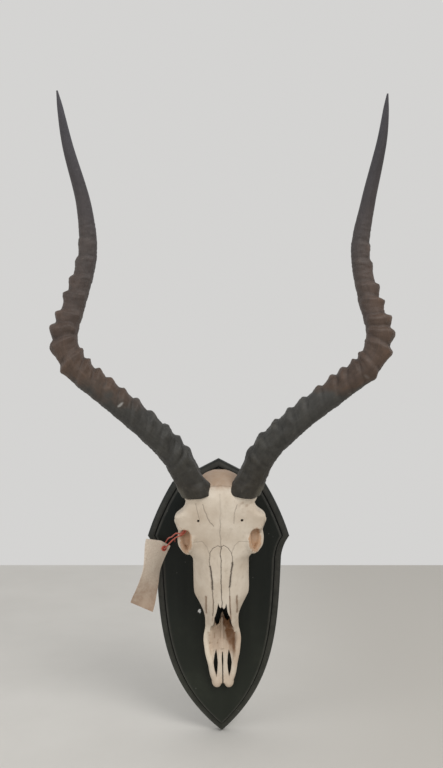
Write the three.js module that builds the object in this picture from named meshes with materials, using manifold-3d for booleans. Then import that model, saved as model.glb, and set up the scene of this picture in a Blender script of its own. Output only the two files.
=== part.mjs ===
// Impala trophy: a horned upper skull, without its lower jaw, carried on a moulded wooden wall shield.
// Millimetres. +Z runs up the wall, -Y comes out of the wall towards the viewer,
// and the origin is the middle of the shield's flat back face.
import * as THREE from "three";
import { mergeVertices } from "three/addons/utils/BufferGeometryUtils.js";
import Module from "manifold-3d";

const wasm = await Module();
wasm.setup();

// Driving dimensions of the shield
const SHIELD_TOP = 165; // apex above the origin, and the foot as far below it
const SHIELD_THICKNESS = 20;
const SHOULDER = [56.5, 136]; // half width and height of the corners beside the apex
const EAR = [86, 71.5]; // the side points, where the shield is widest
const WAIST = [76, 46]; // where the notch under each ear meets the long side
const FOOT_X = 4; // the hand-cut foot lies a little off the middle
const MOULDING_LIP = 7; // thickness of the square edge at the back
const MOULDING_OVOLO = 7; // width and rise of the quarter-round on that edge
const FIELD_INSET = 9; // from the outline to the raised field
const FIELD_ROUND = 3; // rounding along the field's edge

// Driving dimensions of the head. In the head's own frame x is across, "up" is along the skull from the tips of
// the upper jaw, and "out" is the height above the shield's field.
const SEAT_GAP = 0.3;
const HEAD_X = 5.4;
const HEAD_Z = -106;
const HEAD_TILT = -0.9; // degrees, as the skull sits a little askew
const ORBIT = { x: 38.4, up: 191.5, out: 48.5, radius: 20.3, rim: 2.8 };
const ORBIT_FACING = 21; // degrees that the eye socket turns from the side towards the front

// Driving dimensions of the horns
const HORN_SIDES = 12;
const RING_COUNT = 17;
const RING_FIRST = 46; // along the horn from its base to the first ring
const RING_PITCH = 18;
const RING_SLANT = 6.5; // how far a ring leans towards the base on the outer side
const BASE_DROP = 6; // how far the horn's lower edge reaches down on the inner side

// Driving dimensions of the label and its string
const TAG = { width: 29, length: 80, thickness: 0.8 };
const TAG_HOLE = { radius: 2.6, across: 8.8, belowTop: 6 };
const TAG_SKEW = 0.13; // slope of the lower end, which is cut askew
const STRING_R = 0.8;

const material = (colour, roughness) =>
  new THREE.MeshStandardMaterial({ color: colour, roughness, metalness: 0 });
const BONE = material(0xd8cbb6, 0.65);
const HORN = material(0x3b332e, 0.5);
const PAINTED_WOOD = material(0x1f2624, 0.45);
const CARD = material(0xcabba6, 0.9);
const RED_STRING = material(0xa83a2e, 0.85);

// Solids and booleans

function solid(geometry) {
  const bare = new THREE.BufferGeometry();
  bare.setAttribute("position", geometry.getAttribute("position"));
  bare.setIndex(geometry.getIndex());
  const merged = mergeVertices(bare, 1e-4);
  return new wasm.Manifold(
    new wasm.Mesh({
      numProp: 3,
      vertProperties: merged.getAttribute("position").array,
      triVerts: new Uint32Array(merged.getIndex().array),
    }),
  );
}

function geometryOf(manifold) {
  const mesh = manifold.getMesh();
  const geometry = new THREE.BufferGeometry();
  geometry.setAttribute("position", new THREE.BufferAttribute(mesh.vertProperties, 3));
  geometry.setIndex(new THREE.BufferAttribute(mesh.triVerts, 1));
  geometry.computeVertexNormals();
  return geometry;
}

const joined = (geometries) => geometries.map(solid).reduce((sum, next) => sum.add(next));

function named(name, geometry, finish) {
  const mesh = new THREE.Mesh(geometry, finish);
  mesh.name = name;
  return mesh;
}

// Curves

// A smooth function through [position, value] pairs, flat beyond its ends.
function through(pairs) {
  const slope = (i) => {
    const [before, after] = [pairs[Math.max(i - 1, 0)], pairs[Math.min(i + 1, pairs.length - 1)]];
    return (after[1] - before[1]) / (after[0] - before[0]);
  };
  return (at) => {
    if (at <= pairs[0][0]) return pairs[0][1];
    const i = pairs.findIndex((pair) => pair[0] >= at) - 1;
    if (i < 0) return pairs[pairs.length - 1][1];
    const step = pairs[i + 1][0] - pairs[i][0];
    const t = (at - pairs[i][0]) / step;
    const rise = pairs[i + 1][1] - pairs[i][1];
    const [m0, m1] = [slope(i) * step, slope(i + 1) * step];
    return pairs[i][1] + m0 * t + (3 * rise - 2 * m0 - m1) * t * t + (m0 + m1 - 2 * rise) * t * t * t;
  };
}

const smooth = (from, to, at) => THREE.MathUtils.smoothstep(at, from, to);

// A point of the head's frame.
const head = (x, up, out) => new THREE.Vector3(x, -out, up);
const pathOf = (points) => new THREE.CatmullRomCurve3(points.map((p) => head(...p)), false, "centripetal");

// Bends a capped cylinder along a path. stations are lengths along the path; reach(length, across, front) gives
// the radius and a shift along the path for the direction whose parts across and to the front are given.
function sweep(path, stations, sides, reach) {
  const geometry = new THREE.CylinderGeometry(1, 1, 1, sides, stations.length - 1);
  const length = path.getLength();
  const position = geometry.getAttribute("position");
  for (let i = 0; i < position.count; i++) {
    const [across, front] = [position.getX(i), position.getZ(i)];
    const row = Math.round((position.getY(i) + 0.5) * (stations.length - 1));
    const { radius, shift = 0 } = reach(stations[row], across, front);
    const at = THREE.MathUtils.clamp((stations[row] + shift) / length, 0, 1);
    const along = path.getTangentAt(at);
    const side = new THREE.Vector3().crossVectors(along, new THREE.Vector3(0, -1, 0)).normalize();
    const out = new THREE.Vector3().crossVectors(side, along);
    const point = path.getPointAt(at);
    point.addScaledVector(side, across * radius);
    point.addScaledVector(out, front * radius);
    point.addScaledVector(along, Math.min(stations[row] + shift, 0));
    position.setXYZ(i, point.x, point.y, point.z);
  }
  return geometry;
}

// A tapered rod of bone through points, with a radius at each point.
function rod(points, radii, sides, rows) {
  const path = pathOf(points);
  const length = path.getLength();
  const radius = through(radii.map((r, i) => [(length * i) / (radii.length - 1), r]));
  const stations = Array.from({ length: rows + 1 }, (_, i) => (length * i) / rows);
  return sweep(path, stations, sides, (at) => ({ radius: radius(at) }));
}

const ellipsoid = ([x, up, out], [across, along, deep], wide = 14, high = 10) =>
  new THREE.SphereGeometry(1, wide, high).scale(across, deep, along).translate(x, -out, up);

// A flat outline in x and up, from one height above the field to another.
function plate(outline, low, high) {
  const shape = new THREE.Shape(outline.map((p) => new THREE.Vector2(...p)));
  const geometry = new THREE.ExtrudeGeometry(shape, { depth: high - low, bevelEnabled: false });
  return geometry.rotateX(Math.PI / 2).translate(0, -low, 0);
}

// Shield

function shieldOutline() {
  const outline = new THREE.Shape();
  outline.moveTo(0, SHIELD_TOP);
  outline.lineTo(-SHOULDER[0], SHOULDER[1]);
  outline.quadraticCurveTo(-75.5, 105, -EAR[0], EAR[1]);
  outline.quadraticCurveTo(-77.5, 60, -WAIST[0], WAIST[1]);
  outline.bezierCurveTo(-72, -40, -68, -108, FOOT_X, -SHIELD_TOP);
  outline.bezierCurveTo(70, -108, 72, -40, WAIST[0], WAIST[1]);
  outline.quadraticCurveTo(77.5, 60, EAR[0], EAR[1]);
  outline.quadraticCurveTo(75.5, 105, SHOULDER[0], SHOULDER[1]);
  outline.closePath();
  return outline;
}

// A board of the shield's outline, drawn in by inset and rounded along its edges. Its front lies at y = -front.
function board(inset, front, round, segments) {
  const geometry = new THREE.ExtrudeGeometry(shieldOutline(), {
    depth: front - round,
    curveSegments: 8,
    bevelThickness: round,
    bevelSize: round,
    bevelOffset: -round - inset,
    bevelSegments: segments,
  });
  return geometry.rotateX(Math.PI / 2);
}

function shield() {
  const behind = new THREE.BoxGeometry(400, 40, 400).translate(0, 20, 0);
  const base = solid(board(0, MOULDING_LIP + MOULDING_OVOLO, MOULDING_OVOLO, 4));
  const field = solid(board(FIELD_INSET, SHIELD_THICKNESS, FIELD_ROUND, 3));
  return geometryOf(base.add(field).subtract(solid(behind)));
}

// Horns

// Each horn's middle line, in the head's frame, from its seat on the skull to its tip.
const HORN_LINES = {
  left: [
    [-25.6, 240, 68], [-49, 285, 82], [-82, 321, 99], [-119, 355, 116], [-147, 381, 125], [-158, 410, 128],
    [-148, 447, 126], [-134, 498, 124], [-135.5, 547, 131], [-148, 606, 152], [-153, 652, 175],
  ],
  right: [
    [27.8, 240, 68], [49.5, 285, 82], [85, 321, 99], [128, 355, 116], [159, 381, 125], [168, 410, 128],
    [159, 447, 126], [151, 498, 124], [158.5, 547, 131], [170, 606, 152], [172, 645, 172],
  ],
};

// The bare horn's radius at a share of its length, and the height of a ring at a length from its base.
const hornRadius = through([
  [0, 16.6], [0.12, 14.9], [0.24, 13.9], [0.47, 12.7], [0.55, 11.1], [0.69, 9.2], [0.77, 7.6], [0.89, 5.4],
  [0.965, 3], [1, 0.8],
]);
const ringHeight = through([[43, 2.3], [100, 2.8], [180, 2.9], [240, 4.6], [270, 4.2], [300, 2.8], [340, 0.7]]);

// Lengths along a horn at which its rings rise, crest and fall, with the smooth point beyond them.
function hornStations(length) {
  const stations = [0, 6, 26];
  for (let ring = 0; ring < RING_COUNT; ring++) {
    const crest = RING_FIRST + ring * RING_PITCH;
    stations.push(crest - 4, crest, crest + 3, crest + RING_PITCH / 2);
  }
  const smoothStart = stations[stations.length - 1];
  for (const share of [0.2, 0.4, 0.58, 0.74, 0.87, 0.96, 1]) {
    stations.push(smoothStart + (length - smoothStart) * share);
  }
  return stations;
}

// swell thickens the horn and lengthens it below its seat, to cut its bed in the skull.
function horn(sideName, swell = 0) {
  const medial = sideName === "left" ? 1 : -1;
  const path = pathOf(HORN_LINES[sideName]);
  const length = path.getLength();
  const lastRing = RING_FIRST + (RING_COUNT - 1) * RING_PITCH;
  const stations = hornStations(length);
  if (swell) stations[0] = -swell;
  return sweep(path, stations, HORN_SIDES, (at, across, front) => {
    const around = across * medial;
    const inner = smooth(-0.2, 0.8, around) * (1 - smooth(205, 240, at));
    const outer = smooth(-0.2, 0.8, -around) * smooth(185, 215, at);
    const strength = Math.max(0.15, inner, outer, 0.4 * smooth(0.1, 0.9, front));
    const phase = (at - RING_FIRST) / RING_PITCH;
    const onCrest = at >= RING_FIRST - 1 && at <= lastRing + 1 && Math.abs(phase - Math.round(phase)) < 0.01;
    const ring = onCrest ? ringHeight(at) * strength : 0;
    const lean = RING_SLANT * smooth(5, 60, at) * (1 - smooth(300, 345, at));
    const slant = lean - BASE_DROP * (1 - smooth(0, 40, at));
    return { radius: hornRadius(at / length) + ring + swell, shift: slant * around };
  });
}

// Skull

const SKULL_SIDES = 18;
const SKULL_SECTIONS = [
  72, 87, 104, 120, 140, 160, 173, 184, 193, 200, 207, 214, 221, 230, 240, 250, 257, 262,
];
const halfWidth = through([
  [72, 18], [87, 19.4], [97, 21.5], [104, 24.5], [112, 28.5], [120, 31.8], [160, 32.3], [173, 34.5],
  [188, 35.8], [195, 41], [201, 47], [208, 50.3], [214, 50.8], [219, 47.6], [224, 43.2], [230, 39],
  [236, 37.3], [242, 35], [250, 31], [257, 25], [262, 17],
]);
const crown = through([
  [72, 31], [90, 42], [130, 54], [179, 66], [209, 75], [237, 80], [250, 72], [257, 61], [262, 47],
]);
const widest = through([[72, 20], [113, 20], [160, 30], [185, 52], [213, 60], [235, 50], [262, 36]]);
const palate = through([[72, 9], [113, 10], [170, 12], [240, 13], [262, 24]]);
const crownPower = through([
  [72, 0.85], [150, 0.85], [172, 0.55], [186, 0.38], [207, 0.34], [228, 0.36], [240, 0.5], [250, 0.75],
  [262, 0.95],
]);

// The braincase, forehead and muzzle as one lofted body.
function cranium() {
  const rows = SKULL_SECTIONS.length - 1;
  const geometry = new THREE.CylinderGeometry(1, 1, 1, SKULL_SIDES, rows);
  const position = geometry.getAttribute("position");
  const squared = (value, power) => {
    const size = Math.abs(value);
    return size < 1e-6 ? 0 : Math.sign(value) * size ** power;
  };
  for (let i = 0; i < position.count; i++) {
    const up = SKULL_SECTIONS[Math.round((position.getY(i) + 0.5) * rows)];
    const [across, front] = [position.getX(i), position.getZ(i)];
    const rise = front > 0 ? crown(up) - widest(up) : widest(up) - palate(up);
    const power = front > 0 ? crownPower(up) : 0.55;
    const point = head(squared(across, power) * halfWidth(up), up, widest(up) + squared(front, power) * rise);
    position.setXYZ(i, point.x, point.y, point.z);
  }
  return geometry;
}

function orbitRim(side) {
  const facing = THREE.MathUtils.degToRad(ORBIT_FACING);
  const down = new THREE.Vector3(side * Math.sin(facing), Math.cos(facing), 0);
  const along = new THREE.Vector3(0, 0, 1);
  const basis = new THREE.Matrix4().makeBasis(down, along, new THREE.Vector3().crossVectors(down, along));
  const rim = new THREE.TorusGeometry(ORBIT.radius, ORBIT.rim, 6, 16).applyMatrix4(basis);
  const centre = head(side * ORBIT.x, ORBIT.up, ORBIT.out);
  return rim.translate(centre.x, centre.y, centre.z);
}

// The cheek side of one eye: its rim, the bar behind it and the cheek arch.
const cheek = (side) => [
  orbitRim(side),
  rod(
    [[side * 38, 204, 65], [side * 46.5, 210, 60], [side * 46.8, 202, 45], [side * 45.5, 192, 32]],
    [6, 4.4, 3.6, 3.2], 6, 6,
  ),
  rod([[side * 43.5, 192, 30], [side * 36.5, 220, 26], [side * 30, 246, 28]], [2.8, 3.2, 6], 6, 4),
];

// One half of the upper jaw's front: the outer arm, the inner splint and the rounded tip.
const muzzle = (side) => [
  rod(
    [[side * 15, 112, 37], [side * 16.2, 92, 30], [side * 16.6, 80, 25.5], [side * 19.2, 64, 18],
      [side * 17.4, 46, 13], [side * 14, 30, 9.5], [side * 11, 15, 8], [side * 7.6, 6, 7]],
    [4.5, 3.4, 3, 2.9, 3.3, 3.7, 3.9, 3.6], 6, 10,
  ),
  rod(
    [[side * 3, 60, 10.5], [side * 3.2, 40, 9.5], [side * 3.5, 24, 8.5], [side * 4.3, 10, 7]],
    [1.6, 2, 2.2, 3], 6, 5,
  ),
  ellipsoid([side * 7.1, 8.4, 6.3], [6.2, 8.2, 5], 8, 6),
];

const molars = (side) => new THREE.BoxGeometry(9, 14, 56).translate(side * 23.5, -7, 141);

const HORN_ROOT = 20; // how deep a horn's bony root starts below its seat

function pedicle(sideName) {
  const path = pathOf(HORN_LINES[sideName]);
  const [seat, along] = [path.getPointAt(0), path.getTangentAt(0)];
  const ends = [-HORN_ROOT, -HORN_ROOT / 2, 4].map((step) => seat.clone().addScaledVector(along, step));
  return rod(ends.map((p) => [p.x, p.z, -p.y]), [12, 14, 15.5], 12, 3);
}

const NASAL_FLOOR = [
  [-17.5, 62], [-15, 45], [-10.5, 26], [-6, 6], [6, 6], [10.5, 26], [15, 45], [17.5, 62], [16.5, 80], [14, 118],
  [-14, 118], [-16.5, 80],
];
const NASAL_RIDGE = [[-1.2, 48], [1.2, 48], [1.6, 86], [-1.6, 86]];
const NASAL_FORK = [
  [-10.5, 55], [10.5, 55], [10.3, 92], [9, 94], [7.8, 95], [4.8, 115], [1.9, 103], [0, 106], [-1.9, 103],
  [-4.8, 115], [-7.8, 95], [-9, 94], [-10.3, 92],
];
const PALATE_SLOT = [[7.5, 47], [10.8, 31], [7.4, 14], [5.6, 31]];
const THROAT = [[0, 87], [-8.4, 76], [-9.4, 100], [-6, 108], [6, 108], [9.4, 100], [8, 81]];
const MIDDLE_SLIT = [
  [-0.5, 44], [0.5, 44], [1.1, 35], [0.6, 26], [0.5, 8], [1.6, -4], [-1.6, -4], [-0.5, 8], [-0.6, 26],
  [-1.1, 35],
];

function skull() {
  const sides = [-1, 1];
  const mirrored = (outline, side) => outline.map(([x, up]) => [side * x, up]);
  const cheekbones = sides.map((side) => ellipsoid([side * 37, 187, 30], [10.5, 20, 9], 12, 8));
  let bone = joined([cranium(), pedicle("left"), pedicle("right"), ...cheekbones]);
  for (const side of sides) {
    bone = bone.subtract(solid(ellipsoid([side * 46, 191, 50], [21, 18.5, 18.5], 12, 8)));
    bone = bone.subtract(solid(ellipsoid([side * 52, 234, 38], [15, 17, 22], 10, 8)));
  }
  bone = bone.subtract(solid(ellipsoid([0, 82, 25], [14.2, 62, 15.4], 12, 8)));
  bone = bone.subtract(solid(plate(NASAL_FORK, 24, 60)));
  bone = bone.add(solid(plate(NASAL_FLOOR, 6, 10))).add(solid(plate(NASAL_RIDGE, 8, 13)));
  for (const side of sides) {
    const pieces = [...cheek(side), ...muzzle(side), molars(side)];
    pieces.push(ellipsoid([side * 12, 247, 13], [10, 10, 12], 8, 6));
    bone = bone.add(joined(pieces));
    const nervePort = rod([[side * 24, 209.5, 60], [side * 24, 211.5, 90]], [1.5, 1.5], 6, 1);
    bone = bone.subtract(solid(nervePort)).subtract(solid(plate(mirrored(PALATE_SLOT, side), 0, 30)));
  }
  for (const opening of [MIDDLE_SLIT, THROAT]) {
    bone = bone.subtract(solid(plate(opening, 0, 30)));
  }
  bone = bone.subtract(solid(horn("left", SEAT_GAP))).subtract(solid(horn("right", SEAT_GAP)));
  const field = new THREE.BoxGeometry(200, 40, 400).translate(0, 20, 130);
  return geometryOf(bone.subtract(solid(field)));
}

// Label and string, in the part's own frame

// The label's middle line from its lower end to its upper end, and how far its right edge turns back along it.
const TAG_LINE = new THREE.CatmullRomCurve3([
  new THREE.Vector3(-92, -22.4, -11.7),
  new THREE.Vector3(-85, -25.9, 10.5),
  new THREE.Vector3(-79, -28.4, 35.5),
  new THREE.Vector3(-71.5, -31.4, 67.5),
]);
const tagTurn = through([[0, 4], [0.27, 33], [0.59, 48], [1, 19]]);

// Axes of the label at a share of its length: across, through and along the card.
function tagAxes(share) {
  const along = TAG_LINE.getTangentAt(share);
  const side = new THREE.Vector3().crossVectors(along, new THREE.Vector3(0, -1, 0)).normalize();
  const across = side.applyAxisAngle(along, THREE.MathUtils.degToRad(tagTurn(share)));
  return { across, through: new THREE.Vector3().crossVectors(along, across), along };
}

const tagPoint = (share, offset, depth) => {
  const { across, through: inward, along } = tagAxes(share);
  const point = TAG_LINE.getPointAt(share).addScaledVector(across, offset).addScaledVector(inward, depth);
  return point.addScaledVector(along, -TAG_SKEW * offset * (1 - share));
};

function tag() {
  const card = new THREE.BoxGeometry(TAG.width, TAG.thickness, 1, 3, 1, 9);
  const position = card.getAttribute("position");
  for (let i = 0; i < position.count; i++) {
    const point = tagPoint(position.getZ(i) + 0.5, position.getX(i), position.getY(i));
    position.setXYZ(i, point.x, point.y, point.z);
  }
  const share = 1 - TAG_HOLE.belowTop / TAG.length;
  const { across, through: inward, along } = tagAxes(share);
  const punch = new THREE.CylinderGeometry(TAG_HOLE.radius, TAG_HOLE.radius, 6, 12);
  punch.applyMatrix4(new THREE.Matrix4().makeBasis(across, inward, along));
  const centre = tagPoint(share, TAG_HOLE.across, 0);
  return geometryOf(solid(card).subtract(solid(punch.translate(centre.x, centre.y, centre.z))));
}

// The string starts on the bar behind the eye, runs over the eye's rim and down to the label, goes through
// the hole and comes back beside itself.
const STRING_ROUTE = [
  [-36.7, -64.4, 90.2], [-38, -58.9, 85.2], [-44.1, -55.7, 80.3], [-48.2, -52.2, 78.3], [-56, -42.5, 70.5],
  [-61.6, -35, 63], [-63.8, -30.8, 60.2], [-65.1, -27.1, 60.4], [-65.2, -24, 62.2], [-63.2, -23.4, 66],
  [-60.2, -25.6, 71.2], [-55.2, -37.5, 75.4], [-48.4, -51, 82.4], [-44.3, -55.3, 82.5], [-39.6, -60.8, 86.7],
  [-38.4, -64.8, 92.6],
];

function string() {
  const points = STRING_ROUTE.map((p) => new THREE.Vector3(...p));
  const route = new THREE.CatmullRomCurve3(points, false, "centripetal");
  const section = new THREE.Shape().absarc(0, 0, STRING_R, 0, 2 * Math.PI, false);
  return new THREE.ExtrudeGeometry(section, { steps: 24, extrudePath: route, curveSegments: 4 });
}

const trophy = new THREE.Group();
trophy.add(named("shield", shield(), PAINTED_WOOD));

const headGroup = new THREE.Group();
headGroup.position.set(HEAD_X, -SHIELD_THICKNESS - SEAT_GAP, HEAD_Z);
headGroup.rotation.y = THREE.MathUtils.degToRad(HEAD_TILT);
headGroup.add(named("skull", skull(), BONE));
headGroup.add(named("horn_left", geometryOf(solid(horn("left"))), HORN));
headGroup.add(named("horn_right", geometryOf(solid(horn("right"))), HORN));
trophy.add(headGroup);

trophy.add(named("tag", tag(), CARD));
trophy.add(named("string", string(), RED_STRING));

export default trophy;
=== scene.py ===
# Looks of the impala trophy: a horned skull on a painted shield, with a card label on a red string.
# Metres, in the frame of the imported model: +Z up the wall, -Y out of the wall towards the viewer.
import bisect
import math
import random

import bmesh
import bpy
from mathutils import Matrix, Vector, noise


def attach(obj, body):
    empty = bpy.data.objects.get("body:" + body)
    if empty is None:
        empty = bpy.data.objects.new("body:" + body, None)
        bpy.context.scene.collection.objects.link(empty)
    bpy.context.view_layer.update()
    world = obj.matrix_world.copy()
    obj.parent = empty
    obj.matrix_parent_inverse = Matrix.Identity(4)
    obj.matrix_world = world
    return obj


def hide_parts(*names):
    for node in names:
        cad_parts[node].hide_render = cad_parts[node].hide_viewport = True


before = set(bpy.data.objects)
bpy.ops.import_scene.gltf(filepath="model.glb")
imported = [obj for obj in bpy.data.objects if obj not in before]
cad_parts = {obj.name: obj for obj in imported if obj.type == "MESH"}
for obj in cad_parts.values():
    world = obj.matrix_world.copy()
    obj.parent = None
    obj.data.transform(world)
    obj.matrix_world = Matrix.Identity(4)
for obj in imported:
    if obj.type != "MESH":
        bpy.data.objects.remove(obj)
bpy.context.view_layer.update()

MM = 0.001

# Camera: the photograph looks square on to the shield, from a little above the trophy's middle
FOCAL_PIXELS = 800
LONG_SIDE_PIXELS = 768
SENSOR_WIDTH = 36
CAMERA_PLACE = (0.0036, -0.980, 0.2556)

# Floor and light
FLOOR_LEVEL = -0.1655
FLOOR_BACK = 0.88
FLOOR_FRONT = -2.5
FLOOR_HALF_WIDTH = 3.0
BACKGROUND = (0.66, 0.655, 0.645)
LIGHT_TARGET = (0, -0.05, 0.15)
KEY_PLACE = (0.9, -1.6, 1.5)
FILL_PLACE = (-1.4, -1.2, 0.7)

# Shield, in millimetres
SHIELD_TOP = 165
SHIELD_THICKNESS = 20
SHOULDER = (56.5, 136)
SHOULDER_BOW = (75.5, 105)
EAR = (86, 71.5)
NOTCH = (77.5, 60)
WAIST = (76, 46)
HIGH_BOW = (72, -40)
LOW_BOW_RIGHT = (70, -108)
LOW_BOW_LEFT = (-68, -108)
FOOT_X = 4
EDGE_LIP = 7
OVOLO = 7
OVOLO_FLAT = 0.5
QUIRK = 0.9
QUIRK_SIDE = 0.4
FIELD_INSET = 9
FIELD_ROUND = 3
FIELD_WALL = 0.15
SHIELD_CREASE = math.radians(32)

# A dab of pale paint on the shield, in metres
DAB_PLACE = (-0.0228, -0.0168)
DAB_SIZE = (0.0018, 0.0024)

# Head, in millimetres: x across, "up" along the skull from the tips of its jaw, "out" from the shield
SEAT_GAP = 0.3
HEAD_X = 5.4
HEAD_Z = -106
HEAD_TILT = math.radians(-0.9)
HEAD_PLACE = (
    Matrix.Translation(Vector((HEAD_X, -SHIELD_THICKNESS - SEAT_GAP, HEAD_Z)) * MM)
    @ Matrix.Rotation(HEAD_TILT, 4, "Y")
    @ Matrix.Scale(MM, 4)
)
ORBIT_X = 38.4
ORBIT_UP = 191.5
ORBIT_OUT = 48.5
ORBIT_RADIUS = 20.3
ORBIT_RIM = 3
ORBIT_FACING = math.radians(21)
EYE_PATCH = (39.4, 182.8)
EYE_PATCH_SIZE = (7.8, 13.6)
SIGHT_DROP = 0.19  # of the line of sight, for each millimetre towards the shield
BONE_VOXEL = 1.07

# Horns, in millimetres
HORN_LINES = {
    "left": [
        (-25.6, 240, 68), (-49, 285, 82), (-82, 321, 99), (-119, 355, 116), (-147, 381, 125),
        (-158, 410, 128), (-148, 447, 126), (-134, 498, 124), (-135.5, 547, 131), (-148, 606, 152),
        (-153, 652, 175),
    ],
    "right": [
        (27.8, 240, 68), (49.5, 285, 82), (85, 321, 99), (128, 355, 116), (159, 381, 125),
        (168, 410, 128), (159, 447, 126), (151, 498, 124), (158.5, 547, 131), (170, 606, 152),
        (172, 645, 172),
    ],
}
MEDIAL = {"left": 1, "right": -1}
HORN_SEEDS = {"left": 11, "right": 29}
HORN_SEGMENTS = 88
HORN_ROW = 1.1
RING_PLACES = {
    "left": [
        44.5, 56, 76, 98, 119.5, 138, 156.5, 171, 188.5, 207, 228, 240.5, 255.5, 276.5, 295, 315.5, 335,
    ],
    "right": [
        42.5, 59, 80, 100, 119.5, 139.5, 158.5, 172, 188, 203.5, 225, 240, 252, 272, 288, 312.5, 332,
    ],
}
RING_SLANT = 6.5
RING_LAST = 334
RING_WAVER = 2.2
RING_RISE = 6.2
RING_FALL = 2.6
CREASE_BEYOND = 5.2
CREASE_WIDTH = 1.7
CREASE_DEPTH = 0.5
WRINKLE_HEIGHT = 0.45
FLUTE_HEIGHT = 0.2
BASE_DROP = 6

# A chip on each horn: its length from the base, its place around the horn and how pale it is
NICKS = {"left": (139, 0.08, 1), "right": (196, -0.45, 0.2)}
NICK_LEAN = 8
NICK_WIDTH = 1.3
NICK_REACH = 0.27

# How much further along each horn its colours come, as a share of its length
BROWN_LATER = {"left": 0, "right": 0.03}

# Label and string, in millimetres
TAG_WIDTH = 29
TAG_LENGTH = 80
TAG_THICKNESS = 0.6
TAG_LINE = [(-92, -22.4, -11.7), (-85, -25.9, 10.5), (-79, -28.4, 35.5), (-71.5, -31.4, 67.5)]
TAG_TURN = [(0, 4), (0.27, 33), (0.59, 48), (1, 19)]
TAG_HOLE_RADIUS = 2.6
TAG_HOLE_ACROSS = 8.8
TAG_HOLE_BELOW_TOP = 6
TAG_SKEW = 0.13
TAG_CLIP = 0.42
TAG_CLIP_FROM = 3
TAG_HEAD = 2.8
TAG_FLARE = 0.08
TAG_WARP = 0.5
TAG_CREASE = math.radians(40)
STRING_RADIUS = 0.8
STRING_POINTS = 40
STRING_ROUTE = [
    (-36.7, -64.4, 90.2), (-38, -58.9, 85.2), (-44.1, -55.7, 80.3), (-48.2, -52.2, 78.3),
    (-56, -42.5, 70.5), (-61.6, -35, 63), (-63.8, -30.8, 60.2), (-65.1, -27.1, 60.4),
    (-65.2, -24, 62.2), (-63.2, -23.4, 66), (-60.2, -25.6, 71.2), (-55.2, -37.5, 75.4),
    (-48.4, -51, 82.4), (-44.3, -55.3, 82.5), (-39.6, -60.8, 86.7), (-38.4, -64.8, 92.6),
]
LOOP_TURNS = 1.8
LOOP_STEPS = 24
LOOP_RADIUS = 2.9
LOOP_CLOSING = 0.55
LOOP_START = 0.6
FRAYED_END = [(-50.5, -49.6, 76), (-50.7, -49.4, 74), (-50.4, -49, 71.8)]
FRAYED_END_RADII = [0.4, 0.3, 0.15]


# Curves and small sums

def smooth(low, high, value):
    share = min(max((value - low) / (high - low), 0), 1)
    return share * share * (3 - 2 * share)


def hill(offset, width):
    return math.exp(-((offset / width) ** 2))


def through(pairs):
    """A smooth function through (position, value) pairs, flat beyond its ends."""
    places = [pair[0] for pair in pairs]
    values = [pair[1] for pair in pairs]
    last = len(pairs) - 1

    def slope(i):
        before, after = max(i - 1, 0), min(i + 1, last)
        return (values[after] - values[before]) / (places[after] - places[before])

    slopes = [slope(i) for i in range(len(pairs))]

    def value_at(place):
        if place <= places[0]:
            return values[0]
        if place >= places[last]:
            return values[last]
        i = bisect.bisect_right(places, place) - 1
        step = places[i + 1] - places[i]
        t = (place - places[i]) / step
        rise = values[i + 1] - values[i]
        m0, m1 = slopes[i] * step, slopes[i + 1] * step
        return values[i] + m0 * t + (3 * rise - 2 * m0 - m1) * t**2 + (m0 + m1 - 2 * rise) * t**3

    return value_at


class Path:
    """A smooth line through points, measured along its length."""

    def __init__(self, points, steps=48):
        points = [Vector(p) for p in points]
        points = [2 * points[0] - points[1]] + points + [2 * points[-1] - points[-2]]
        self.points = []
        for a, b, c, d in zip(points, points[1:], points[2:], points[3:]):
            before, here, after = ((q - p).length ** 0.5 for p, q in ((a, b), (b, c), (c, d)))
            start = ((b - a) / before - (c - a) / (before + here) + (c - b) / here) * here
            end = ((c - b) / here - (d - b) / (here + after) + (d - c) / after) * here
            squared = 3 * (c - b) - 2 * start - end
            cubed = start + end - 2 * (c - b)
            for k in range(steps):
                t = k / steps
                self.points.append(b + start * t + squared * t**2 + cubed * t**3)
        self.points.append(points[-2])
        self.lengths = [0]
        for p, q in zip(self.points, self.points[1:]):
            self.lengths.append(self.lengths[-1] + (q - p).length)
        self.length = self.lengths[-1]

    def at(self, length):
        """The point and the direction at a length along the line."""
        i = min(max(bisect.bisect_right(self.lengths, length) - 1, 0), len(self.points) - 2)
        span = self.points[i + 1] - self.points[i]
        share = (length - self.lengths[i]) / span.length
        low = self.points[max(i - 1, 0)]
        high = self.points[min(i + 2, len(self.points) - 1)]
        return self.points[i] + span * min(max(share, 0), 1), (high - low).normalized()

    def axes(self, length):
        """The point there, and the directions to the side, to the front and along the line."""
        point, along = self.at(length)
        side = along.cross(Vector((0, -1, 0))).normalized()
        return point, side, side.cross(along), along


def head(x, up, out):
    return Vector((x, -out, up))


def head_path(points):
    return Path([head(*p) for p in points])


# Mesh helpers

def unit_tube(segments, rows):
    """A capped tube of radius 1 and height 1 along Z, in even rows."""
    bm = bmesh.new()
    bmesh.ops.create_cone(bm, cap_ends=True, segments=segments, radius1=1, radius2=1, depth=1)
    upright = [e for e in bm.edges if abs(e.verts[0].co.z - e.verts[1].co.z) > 0.5]
    bmesh.ops.subdivide_edges(bm, edges=upright, cuts=rows - 1, use_grid_fill=True)
    return bm


def mesh_from(bm, name):
    mesh = bpy.data.meshes.new(name)
    bm.to_mesh(mesh)
    bm.free()
    return mesh


def object_from(mesh, name):
    made = bpy.data.objects.new(name, mesh)
    bpy.context.scene.collection.objects.link(made)
    return made


def settled(made):
    """The mesh of a helper object with its modifiers done. The helper is removed."""
    bpy.context.view_layer.update()
    mesh = bpy.data.meshes.new_from_object(made.evaluated_get(bpy.context.evaluated_depsgraph_get()))
    bpy.data.objects.remove(made)
    return mesh


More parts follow.
